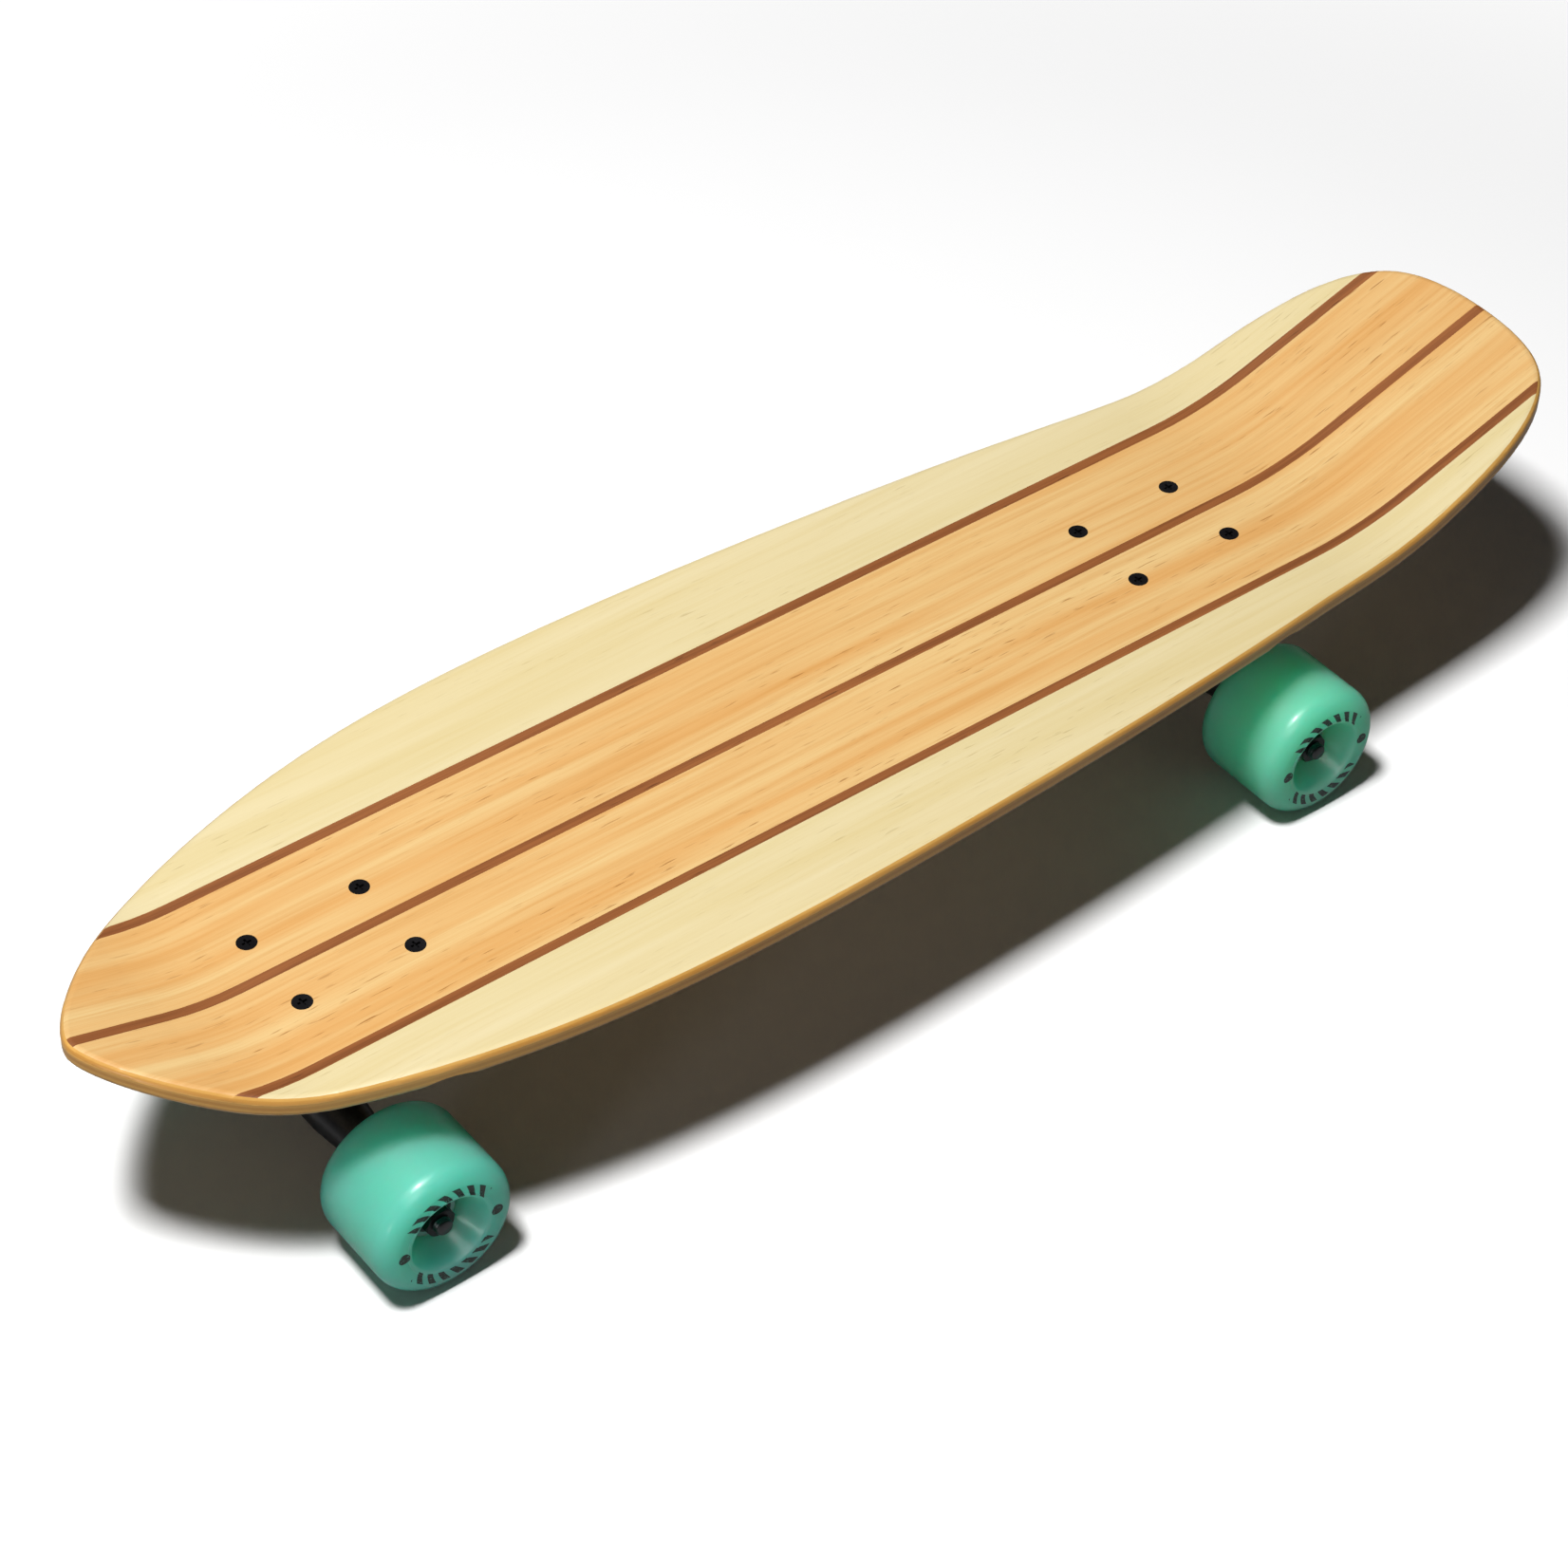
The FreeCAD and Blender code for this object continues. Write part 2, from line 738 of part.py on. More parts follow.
def buildWashers(end, origin, stack):
    """Cupped washers: a flat ring with a lip round the bushing it holds."""
    bore = "size.bushingBore"
    thickness = "size.washerThickness"
    lip = "size.washerLip"
    inner = "size.bushingRadius + size.washerGap"
    outer = inner + " + size.washerWall"
    board = [
        (bore, "0"), (inner, "0"), (inner, "-" + lip), (outer, "-" + lip),
        (outer, thickness), (bore, thickness),
    ]
    place = origin * moved(0, 0, stack["boardBushing"])
    node(end + "_boardside_washer", turned(end + "BoardsideWasher", [board], place))
    inner = "size.roadBushingNarrow + size.washerGap + size.washerLip"
    outer = inner + " + size.washerWall"
    rim = thickness + " + " + lip
    road = [
        (bore, "0"), (outer, "0"), (outer, rim), (inner, rim), (inner, thickness),
        (bore, thickness),
    ]
    place = origin * moved(0, 0, stack["roadWasher"])
    node(end + "_roadside_washer", turned(end + "RoadsideWasher", [road], place))


def hanger(end):
    """Ring round the kingpin, web, pivot nub and the two arms over the axle."""
    ring = primitive("Cylinder", kingpinPlace(end) * moved(0, 0, -size("ringThickness") / 2),
                     Radius="size.ringRadius", Height="size.ringThickness")
    nub = primitive("Cone", pivotPlace(end) * moved(0, 0, -size("nubLength")),
                    Radius1="size.nubRootRadius", Radius2="size.nubRadius",
                    Height="size.nubLength")
    ball = primitive("Sphere", pivotPlace(end), Radius="size.nubRadius")
    drop = "-size.axleDrop"
    web = [
        ("size.ringOffset + size.ringRadius - size.webTuck",
         "-size.ringDrop - size.webShoulderDrop"),
        ("size.pivotOffset - size.webNeckRun", "-size.pivotDrop - size.webNeckDrop"),
        ("size.pivotOffset - size.webBrowRun", "-size.pivotDrop - size.webBrowDrop"),
        ("size.pivotOffset - size.webNoseRun", "-size.pivotDrop - size.webNoseDrop"),
        ("size.axleOffset + size.barrelRadius - size.webTuck", drop + " + size.webBackRise"),
        ("size.axleOffset + size.barrelRadius", drop),
        ("size.axleOffset", drop + " - size.barrelRadius + size.webSink"),
        ("size.axleOffset - size.barrelRadius", drop + " - size.webFrontDrop"),
        ("size.ringOffset + size.webRingRun", "-size.ringDrop - size.webRingDrop"),
    ]
    webBody = padded(end + "Web", "XZ_Plane", [web], "size.webWidth", truckPlace(end), True)
    tip = "size.wheelMiddle - size.hangerEnd"
    arms = [
        ("0", "-(%s)" % tip), ("size.armEndRadius", "-(%s)" % tip),
        ("size.armRadius", "-size.armHalf"), ("size.barrelRadius", "-size.barrelHalf"),
        ("size.barrelRadius", "size.barrelHalf"), ("size.armRadius", "size.armHalf"),
        ("size.armEndRadius", tip), ("0", tip),
    ]
    barrel = turned(end + "Arms", [arms], axlePlace(end, 0))
    ringBore = primitive("Cylinder", kingpinPlace(end) * moved(0, 0, -size("ringDrop") / 2),
                         Radius="size.ringBore", Height="size.ringDrop")
    axleBore = primitive("Cylinder", axlePlace(end, -size("axleLength") / 2),
                         Radius="size.axleDiameter / 2 + size.axleFit",
                         Height="size.axleLength")
    solid = fuse([ring, nub, ball, webBody, barrel])
    return cut(solid, group([ringBore, axleBore]))


def buildAxle(end):
    half = "size.axleLength / 2"
    radius = "size.axleDiameter / 2"
    rod = [
        ("0", "-" + half), (radius + " - size.axleChamfer", "-" + half),
        (radius, "-" + half + " + size.axleChamfer"), (radius, half + " - size.axleChamfer"),
        (radius + " - size.axleChamfer", half), ("0", half),
    ]
    node(end + "_axle", turned(end + "Axle", [rod], axlePlace(end, 0)))

    clear = radius + " + size.axleFit"
    rings = []
    spacers = []
    nuts = []
    for sign in (1, -1):
        middle = "%d * size.wheelMiddle" % sign
        for bearing in (1, -1):
            edge = "%s + %d * size.ringMiddle" % (middle, bearing)
            rings.append(
                ringLoop(clear, "size.speedRingRadius", edge + " - size.speedRingThickness / 2",
                         edge + " + size.speedRingThickness / 2")
            )
        spacers.append(
            ringLoop(clear, "size.spacerRadius", middle + " - size.spacerLength / 2",
                     middle + " + size.spacerLength / 2")
        )
        reach = size("wheelMiddle") + size("hangerEnd")
        y = reach if sign > 0 else -reach - size("axleNutHeight")
        nut = hexagon(axlePlace(end, y), "size.axleNutFlats", "size.axleNutHeight")
        thread = primitive("Cylinder", axlePlace(end, y), Radius=clear,
                           Height="size.axleNutHeight")
        nuts.append(cut(nut, thread))
    node(end + "_axle_nuts", group(nuts))
    node(end + "_speed_rings", turned(end + "SpeedRings", rings, axlePlace(end, 0)))
    node(end + "_spacers", turned(end + "Spacers", spacers, axlePlace(end, 0)))
    races = []
    for side in sides.values():
        for y in bearingPlaces(side):
            races.append(race(end, y, clear, "size.innerRaceRadius"))
    node(end + "_inner_races", group(races))


def race(end, y, bore, rim):
    """One bearing ring with its ball track."""
    start = axlePlace(end, y - size("bearingWidth") / 2)
    solid = primitive("Cylinder", start, Radius=rim, Height="size.bearingWidth")
    hollow = primitive("Cylinder", start, Radius=bore, Height="size.bearingWidth")
    track = primitive("Torus", axlePlace(end, y), Radius1="size.ballCircleRadius",
                      Radius2="size.grooveRadius")
    return cut(cut(solid, hollow), track)


def bearingPlaces(side):
    middle = side * size("wheelMiddle")
    return [middle - size("bearingMiddle"), middle + size("bearingMiddle")]


def buildTruck(end):
    node(end + "_riser_pad", riserPad(end))
    node(end + "_deck_bolts", deckBolts(end))
    node(end + "_deck_nuts", deckNuts(end))
    node(end + "_baseplate", baseplate(end))
    node(end + "_pivot_cup", pivotCup(end))
    buildKingpin(end)
    node(end + "_hanger", hanger(end))
    buildAxle(end)


# ---- wheels ----


def ballSpins(end, side):
    """Seven turned places round the middle of each of the wheel's two bearings."""
    places = []
    for y in bearingPlaces(side):
        for number in range(ballsPerBearing):
            turn = Rotation(Vector(0, 0, 1), 360 * number / ballsPerBearing)
            places.append(axlePlace(end, y) * Placement(Vector(), turn))
    return places


def ballSet(end, side):
    out = moved(size("ballCircleRadius"), 0, 0)
    return [
        primitive("Sphere", place * out, Radius="size.ballRadius")
        for place in ballSpins(end, side)
    ]


def pocketSet(end, side):
    """Radial holes for the balls through the cages."""
    start = size("ballCircleRadius") - size("cageThickness")
    outward = Placement(Vector(start, 0, 0), Rotation(Vector(0, 1, 0), 90))
    return [
        primitive("Cylinder", place * outward, Radius="size.pocketRadius",
                  Height="2 * size.cageThickness")
        for place in ballSpins(end, side)
    ]


def buildWheel(end, sideName):
    side = sides[sideName]
    name = end + sideName.capitalize()
    label = "%s_%s_" % (end, sideName)
    place = axlePlace(end, side * size("wheelMiddle"))
    half = "size.wheelWidth / 2"
    rib = "size.spacerLength / 2"
    seat = "size.bearingWidth + size.spacerLength / 2"
    section = [
        ("size.wheelRibRadius", "-" + rib), ("size.wheelRibRadius", rib),
        ("size.bearingRadius", rib), ("size.bearingRadius", seat),
        ("size.wheelThroatRadius", seat), ("size.wheelMouthRadius", half),
        ("size.wheelDiameter / 2", half), ("size.wheelDiameter / 2", "-" + half),
        ("size.wheelMouthRadius", "-" + half), ("size.wheelThroatRadius", "-(%s)" % seat),
        ("size.bearingRadius", "-(%s)" % seat), ("size.bearingRadius", "-" + rib),
    ]
    tyre = turned(name + "Wheel", [section], place)
    rim = size("wheelDiameter") / 2
    mouth = size("wheelMouthRadius")

    def onCircle(radius):
        def test(edge):
            isCircle = edge.Curve.TypeId == "Part::GeomCircle"
            return isCircle and abs(edge.Curve.Radius - radius) < 0.01
        return test

    rounded(tyre, "size.wheelLipRadius", onCircle(rim))
    rounded(tyre, "size.wheelMouthRound", onCircle(mouth))
    node(label + "wheel", tyre)

    shields = []
    cages = []
    for bearing in (1, -1):
        centre = "%d * size.bearingMiddle" % bearing
        low = centre + " - size.bearingWidth / 2"
        high = centre + " + size.bearingWidth / 2"
        inner = "size.shieldInner"
        shields.append(
            ringLoop(inner, "size.outerRaceRadius", low, low + " + size.shieldThickness")
        )
        shields.append(
            ringLoop(inner, "size.outerRaceRadius", high + " - size.shieldThickness", high)
        )
        cages.append(
            ringLoop("size.ballCircleRadius - size.cageThickness / 2",
                     "size.ballCircleRadius + size.cageThickness / 2",
                     centre + " - size.cageWidth / 2", centre + " + size.cageWidth / 2")
        )
    races = []
    for y in bearingPlaces(side):
        races.append(race(end, y, "size.outerRaceRadius", "size.bearingRadius"))
    node(label + "outer_races", group(races))
    node(label + "shields", turned(name + "Shields", shields, place))
    node(label + "balls", group(ballSet(end, side)))
    cage = turned(name + "Cages", cages, place)
    node(label + "cages", cut(cage, group(pocketSet(end, side))))


# ---- build and write ----

buildDeck()
for end in ends:
    buildTruck(end)
    for sideName in sides:
        buildWheel(end, sideName)
doc.recompute()

for item in doc.Objects:
    if "Invalid" in item.State or "Error" in item.State:
        raise RuntimeError("%s did not build: %s" % (item.Label, item.State))
for label, item in nodes.items():
    if item.Shape.isNull() or not item.Shape.isValid():
        raise RuntimeError(label + " has no valid shape")

os.makedirs("parts", exist_ok=True)
for label, item in nodes.items():
    item.Shape.exportStep("parts/%s.step" % label)
    print("%-28s %2d solids %10.1f mm3" % (label, len(item.Shape.Solids), item.Shape.Volume))
print(len(nodes), "nodes")
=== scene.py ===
import json
import math

import bmesh
import bpy
from mathutils import Matrix, Vector


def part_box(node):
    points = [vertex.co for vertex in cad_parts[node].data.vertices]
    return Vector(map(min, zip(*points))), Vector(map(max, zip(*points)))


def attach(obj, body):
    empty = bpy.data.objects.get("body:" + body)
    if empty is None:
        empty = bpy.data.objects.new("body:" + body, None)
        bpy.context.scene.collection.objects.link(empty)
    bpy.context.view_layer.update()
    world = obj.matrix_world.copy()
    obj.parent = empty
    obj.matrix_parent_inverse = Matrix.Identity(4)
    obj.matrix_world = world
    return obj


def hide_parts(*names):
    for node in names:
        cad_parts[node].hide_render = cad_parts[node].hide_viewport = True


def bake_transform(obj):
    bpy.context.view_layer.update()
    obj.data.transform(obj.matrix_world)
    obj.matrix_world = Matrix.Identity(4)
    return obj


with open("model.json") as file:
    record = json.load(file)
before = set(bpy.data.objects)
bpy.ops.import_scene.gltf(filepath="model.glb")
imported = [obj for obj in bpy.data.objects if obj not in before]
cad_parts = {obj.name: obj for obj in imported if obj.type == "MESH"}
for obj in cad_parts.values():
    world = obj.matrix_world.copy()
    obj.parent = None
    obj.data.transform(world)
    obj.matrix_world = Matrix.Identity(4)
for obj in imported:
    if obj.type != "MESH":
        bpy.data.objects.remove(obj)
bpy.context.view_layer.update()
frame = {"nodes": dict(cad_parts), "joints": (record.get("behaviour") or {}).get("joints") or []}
nodes = frame["nodes"]
joints = {joint["name"]: joint for joint in frame["joints"]}
ends = {"front": 1, "rear": -1}
sides = {"left": 1, "right": -1}


# Studio: camera, floor and lights

studioValues = {
    "target": (0.0549, 0.0333, 0.101),   # where the camera looks, on the deck top
    "azimuth": 141.68,
    "elevation": 42.91,
    "roll": 1.32,
    "distance": 1.7647,
    "lens": 96.45,
    "sensor": 36,
    "floorReach": 30.0,
    "glowFrom": 0.6,                     # the floor turns evenly white between these distances
    "glowTo": 1.7,
    "floorColor": 0.97,
    "floorBounce": 0.28,                 # how pale the floor is to the light it throws back
    "worldStrength": 0.02,
    "backdropStrength": 1.0,             # how bright the room behind the floor looks
    "keyPower": 116.0,
    "keyPlace": (0.92, 0.16, 2.95),
    "keySize": 0.52,
    "fillPower": 3.5,
    "fillPlace": (1.8, 0.75, 0.18),
    "fillSize": 0.32,
    "wheelLightPower": 13.0,
    "wheelLightPlace": (1.13, 1.43, 1.70),
    "wheelLightSize": 0.8,
}


def cameraAxes(azimuth, elevation, roll):
    back = Vector((
        math.sin(azimuth) * math.cos(elevation),
        -math.cos(azimuth) * math.cos(elevation),
        math.sin(elevation),
    ))
    right = Vector((0, 0, 1)).cross(back).normalized()
    up = back.cross(right)
    turnedRight = math.cos(roll) * right + math.sin(roll) * up
    turnedUp = math.cos(roll) * up - math.sin(roll) * right
    return turnedRight, turnedUp, back


def makeCamera(values):
    angles = [math.radians(values[name]) for name in ("azimuth", "elevation", "roll")]
    right, up, back = cameraAxes(*angles)
    data = bpy.data.cameras.new("studioCamera")
    data.lens = values["lens"]
    data.sensor_width = values["sensor"]
    camera = bpy.data.objects.new("studioCamera", data)
    place = Matrix((right, up, back)).transposed().to_4x4()
    place.translation = Vector(values["target"]) + back * values["distance"]
    camera.matrix_world = place
    bpy.context.scene.collection.objects.link(camera)
    bpy.context.scene.camera = camera


def makeAreaLight(name, place, power, size):
    data = bpy.data.lights.new(name, "AREA")
    data.energy = power
    data.size = size
    light = bpy.data.objects.new(name, data)
    light.location = place
    light.rotation_mode = "QUATERNION"
    light.rotation_quaternion = (-Vector(place)).to_track_quat("-Z", "Y")
    bpy.context.scene.collection.objects.link(light)
    return light


def makeFloor(values):
    reach = values["floorReach"]
    mesh = bpy.data.meshes.new("studioFloor")
    corners = [(-reach, -reach, 0), (reach, -reach, 0), (reach, reach, 0), (-reach, reach, 0)]
    mesh.from_pydata(corners, [], [(0, 1, 2, 3)])
    floor = bpy.data.objects.new("studioFloor", mesh)
    bpy.context.scene.collection.objects.link(floor)
    paint = bpy.data.materials.new("studioFloor")
    paint.use_nodes = True
    tree = paint.node_tree
    shader = tree.nodes["Principled BSDF"]
    seen = add(tree, "LightPath").outputs["Is Camera Ray"]
    tone = add(tree, "MapRange", {
        "Value": seen, "To Min": values["floorBounce"], "To Max": values["floorColor"],
    }).outputs[0]
    tree.links.new(tone, shader.inputs["Base Color"])
    coords = add(tree, "TexCoord").outputs["Object"]
    away = add(tree, "VectorMath", {"Vector": coords}, operation="LENGTH").outputs["Value"]
    glow = add(tree, "MapRange", {
        "Value": away, "From Min": values["glowFrom"], "From Max": values["glowTo"],
    }, interpolation_type="SMOOTHSTEP").outputs[0]
    tree.links.new(math2(tree, "MULTIPLY", glow, seen), shader.inputs["Emission Strength"])
    shader.inputs["Emission Color"].default_value = (1, 1, 1, 1)
    shader.inputs["Roughness"].default_value = 0.9
    shader.inputs["Specular IOR Level"].default_value = 0.1
    mesh.materials.append(paint)


def makeWorld(values):
    world = bpy.data.worlds.new("studioWorld")
    world.use_nodes = True
    tree = world.node_tree
    background = tree.nodes["Background"]
    background.inputs["Color"].default_value = (1, 1, 1, 1)
    seen = add(tree, "LightPath").outputs["Is Camera Ray"]
    strength = add(tree, "MapRange", {
        "Value": seen, "To Min": values["worldStrength"], "To Max": values["backdropStrength"],
    }).outputs[0]
    tree.links.new(strength, background.inputs["Strength"])
    bpy.context.scene.world = world


def lightOnly(pieces, values):
    # a soft light that these pieces alone receive, because the deck shades them
    lit = bpy.data.collections.new("litByTheWheelLight")
    for piece in pieces:
        lit.objects.link(piece)
    light = makeAreaLight("wheelLight", values["wheelLightPlace"], values["wheelLightPower"],
                          values["wheelLightSize"])
    light.light_linking.receiver_collection = lit


def makeStudio(values):
    makeCamera(values)
    makeFloor(values)
    makeWorld(values)
    makeAreaLight("keyLight", values["keyPlace"], values["keyPower"], values["keySize"])
    makeAreaLight("fillLight", values["fillPlace"], values["fillPower"], values["fillSize"])
    bpy.context.scene.view_settings.view_transform = "Standard"
    print("studio made")


# Shader nodes

def add(tree, kind, inputs=None, **settings):
    made = tree.nodes.new("ShaderNode" + kind)
    for name, value in settings.items():
        setattr(made, name, value)
    for name, value in (inputs or {}).items():
        if isinstance(value, bpy.types.NodeSocket):
            tree.links.new(value, made.inputs[name])
        else:
            made.inputs[name].default_value = value
    return made


def math2(tree, operation, first, second=0.0):
    return add(tree, "Math", {0: first, 1: second}, operation=operation).outputs[0]


def mixColour(tree, factor, first, second):
    made = add(tree, "Mix", data_type="RGBA")
    for index, value in ((0, factor), (6, first), (7, second)):
        if isinstance(value, bpy.types.NodeSocket):
            tree.links.new(value, made.inputs[index])
        elif index == 0:
            made.inputs[index].default_value = value
        else:
            made.inputs[index].default_value = (*value, 1)
    return made.outputs[2]


def ramp(tree, factor, stops):
    made = add(tree, "ValToRGB", {"Fac": factor})
    elements = made.color_ramp.elements
    while len(elements) < len(stops):
        elements.new(0.5)
    for element, (position, level) in zip(elements, stops):
        element.position = position
        element.color = (level, level, level, 1)
    return made.outputs["Color"]


def stretched(tree, coords, scale, offset=(0, 0, 0)):
    made = add(tree, "Mapping", {"Vector": coords, "Scale": scale, "Location": offset})
    return made.outputs["Vector"]


def noise(tree, coords, scale=1.0, detail=3.0, roughness=0.55):
    made = add(tree, "TexNoise", {
        "Vector": coords, "Scale": scale, "Detail": detail, "Roughness": roughness,
    })
    return made.outputs[0]


def newMaterial(name):
    material = bpy.data.materials.new(name)
    material.use_nodes = True
    tree = material.node_tree
    shader = tree.nodes["Principled BSDF"]
    coords = add(tree, "TexCoord").outputs["Object"]
    return material, tree, shader, coords


def setInputs(shader, **values):
    for name, value in values.items():
        label = name.replace("_", " ")
        shader.inputs[label].default_value = value


def addBump(tree, shader, height, strength, distance):
    bump = add(tree, "Bump", {"Height": height, "Strength": strength, "Distance": distance})
    tree.links.new(bump.outputs["Normal"], shader.inputs["Normal"])


def dress(names, material):
    for name in names:
        piece = nodes[name]
        piece.data.materials.clear()
        piece.data.materials.append(material)


# Wood

# the CAD deck's top surface, which the ply lines along the rim follow
deckShape = {
    "top": 0.101,
    "thickness": 0.010,
    "concaveRadius": 0.500,
    "concaveFlat": 0.020,
    "noseFlat": 0.3015,
    "noseRadius": 0.125,
    "noseAngle": 16,
    "tailFlat": 0.2265,
    "tailRadius": 0.190,
    "tailAngle": 18,
}


def kickRise(tree, distance, radius, angle):
    bend = radius * math.sin(math.radians(angle))
    past = math2(tree, "MAXIMUM", distance, 0.0)
    inBend = math2(tree, "MINIMUM", past, bend)
    curved = math2(tree, "DIVIDE", math2(tree, "MULTIPLY", inBend, inBend), 2 * radius)
    straight = math2(tree, "MAXIMUM", math2(tree, "SUBTRACT", past, bend), 0.0)
    sloped = math2(tree, "MULTIPLY", straight, math.tan(math.radians(angle)))
    return math2(tree, "ADD", curved, sloped)


def depthInDeck(tree, coords, values):
    parts = add(tree, "SeparateXYZ", {"Vector": coords})
    x, y, z = parts.outputs
    nose = kickRise(tree, math2(tree, "SUBTRACT", x, values["noseFlat"]),
                    values["noseRadius"], values["noseAngle"])
    tailward = math2(tree, "MULTIPLY", x, -1.0)
    tail = kickRise(tree, math2(tree, "SUBTRACT", tailward, values["tailFlat"]),
                    values["tailRadius"], values["tailAngle"])
    out = math2(tree, "SUBTRACT", math2(tree, "ABSOLUTE", y), values["concaveFlat"])
    out = math2(tree, "MAXIMUM", out, 0.0)
    concave = math2(tree, "DIVIDE", math2(tree, "MULTIPLY", out, out),
                    2 * values["concaveRadius"])
    top = math2(tree, "ADD", math2(tree, "ADD", nose, tail), concave)
    top = math2(tree, "ADD", top, values["top"])
    return math2(tree, "SUBTRACT", top, z)


woodValues = {
    "pale": {
        "light": (0.745, 0.640, 0.385), "mid": (0.700, 0.580, 0.305),
        "dark": (0.640, 0.500, 0.215), "pore": (0.42, 0.31, 0.13),
        "strips": 0.9, "streaks": 0.45, "fibre": 0.16, "pores": 0.5, "seed": 0.0,
    },
    "amber": {
        "light": (0.760, 0.525, 0.230), "mid": (0.705, 0.388, 0.132),
        "dark": (0.590, 0.270, 0.062), "pore": (0.34, 0.140, 0.032),
        "strips": 1.0, "streaks": 0.62, "fibre": 0.22, "pores": 0.75, "seed": 3.7,
    },
    "walnut": {
        "light": (0.350, 0.125, 0.038), "mid": (0.240, 0.080, 0.025),
        "dark": (0.150, 0.048, 0.016), "pore": (0.08, 0.028, 0.011),
        "strips": 1.0, "streaks": 0.9, "fibre": 0.4, "pores": 0.8, "seed": 8.1,
    },
    "underside": {
        "light": (0.700, 0.500, 0.280), "mid": (0.620, 0.415, 0.210),
        "dark": (0.510, 0.320, 0.140), "pore": (0.34, 0.190, 0.080),
        "strips": 1.0, "streaks": 0.7, "fibre": 0.3, "pores": 0.6, "seed": 5.3,
    },
}


grainValues = {            # how often each kind of mark comes, along and across the board
    "wander": (2.2, 5.0, 0.0),
    "sway": 0.010,         # how far the grain wanders sideways, in metres
    "broad": (2.6, 72, 0.0),
    "streaks": (8.0, 340, 0.0),
    "fibre": (22, 1500, 0.0),
    "dashes": (62, 800, 0.0),
    "patches": (7, 34, 0.0),
    "streakDepth": 0.6,
}


def grainColour(tree, coords, values):
    # broad strips, thin streaks, fibre and short dark pores, all running along X
    seed = values["seed"]

    def marks(where, kind, shift, *detail):
        return noise(tree, stretched(tree, where, grainValues[kind], shift), 1.0, *detail)

    wander = marks(coords, "wander", (seed, 0, 0), 2.0)
    sway = math2(tree, "MULTIPLY", math2(tree, "SUBTRACT", wander, 0.5), grainValues["sway"])
    shift = add(tree, "CombineXYZ", {"Y": sway}).outputs[0]
    bent = add(tree, "VectorMath", {0: coords, 1: shift}, operation="ADD").outputs[0]
    broad = marks(bent, "broad", (seed, seed, 0), 2.5)
    streaks = marks(bent, "streaks", (seed, 1, 0), 4.0, 0.6)
    fibre = marks(bent, "fibre", (seed, 2, 0), 3.0, 0.6)
    dashes = marks(bent, "dashes", (seed, 3, 0), 1.5, 0.5)
    patches = marks(coords, "patches", (seed, 4, 0), 2.0)
    depth = grainValues["streakDepth"] * values["streaks"]
    tone = ramp(tree, broad, [(0.36, 0.0), (0.66, 1.0)])
    tone = math2(tree, "MULTIPLY", tone, values["strips"])
    colour = mixColour(tree, tone, values["mid"], values["light"])
    low = ramp(tree, streaks, [(0.34, 1.0), (0.52, 0.0)])
    colour = mixColour(tree, math2(tree, "MULTIPLY", low, depth), colour, values["dark"])
    high = ramp(tree, streaks, [(0.56, 0.0), (0.74, 1.0)])
    colour = mixColour(tree, math2(tree, "MULTIPLY", high, depth), colour, values["light"])
    lines = ramp(tree, fibre, [(0.3, 1.0), (0.55, 0.0)])
    colour = mixColour(tree, math2(tree, "MULTIPLY", lines, values["fibre"]), colour,
                       values["dark"])
    pores = ramp(tree, dashes, [(0.64, 0.0), (0.72, 1.0)])
    where = ramp(tree, patches, [(0.44, 0.0), (0.60, 1.0)])
    pores = math2(tree, "MULTIPLY", math2(tree, "MULTIPLY", pores, where), values["pores"])
    colour = mixColour(tree, pores, colour, values["pore"])
    relief = math2(tree, "SUBTRACT", fibre, math2(tree, "MULTIPLY", pores, 0.8))
    return colour, relief


def varnishedWood(name, values, roughness=0.42, coat=0.22):
    material, tree, shader, coords = newMaterial(name)
    colour, relief = grainColour(tree, coords, values)
    tree.links.new(colour, shader.inputs["Base Color"])
    smears = noise(tree, stretched(tree, coords, (6, 14, 6)), 1.0, 3.0)
    rough = add(tree, "MapRange", {
        "Value": smears, "From Min": 0.3, "From Max": 0.7,
        "To Min": roughness - 0.05, "To Max": roughness + 0.08,
    }).outputs[0]
    tree.links.new(rough, shader.inputs["Roughness"])
    setInputs(shader, Coat_Weight=coat, Coat_Roughness=0.22, Specular_IOR_Level=0.3)
    addBump(tree, shader, relief, 0.12, 0.0004)
    return material


def plyEdge(name, values):
    material, tree, shader, coords = newMaterial(name)
    depth = depthInDeck(tree, coords, deckShape)
    wobble = noise(tree, stretched(tree, coords, (30, 30, 300)), 1.0, 2.0)
    wobble = math2(tree, "MULTIPLY", math2(tree, "SUBTRACT", wobble, 0.5), 0.0004)
    level = math2(tree, "DIVIDE", math2(tree, "ADD", depth, wobble), values["plyThickness"])
    phase = math2(tree, "FRACT", math2(tree, "MULTIPLY", level, 0.5))
    dark = ramp(tree, phase, [(0.46, 0.0), (0.54, 1.0)])
    colour = mixColour(tree, dark, values["lightPly"], values["darkPly"])
    speckle = noise(tree, stretched(tree, coords, (500, 500, 1500)), 1.0, 3.0)
    colour = mixColour(tree, math2(tree, "MULTIPLY", speckle, 0.35), colour, values["endGrain"])
    drift = noise(tree, stretched(tree, coords, (12, 12, 40)), 1.0, 3.0)
    drift = ramp(tree, drift, [(0.35, 0.0), (0.7, 1.0)])
    colour = mixColour(tree, math2(tree, "MULTIPLY", drift, 0.35), colour, values["stain"])
    tree.links.new(colour, shader.inputs["Base Color"])
    setInputs(shader, Roughness=0.42, Coat_Weight=0.25, Coat_Roughness=0.2)
    addBump(tree, shader, speckle, 0.15, 0.0003)
    return material


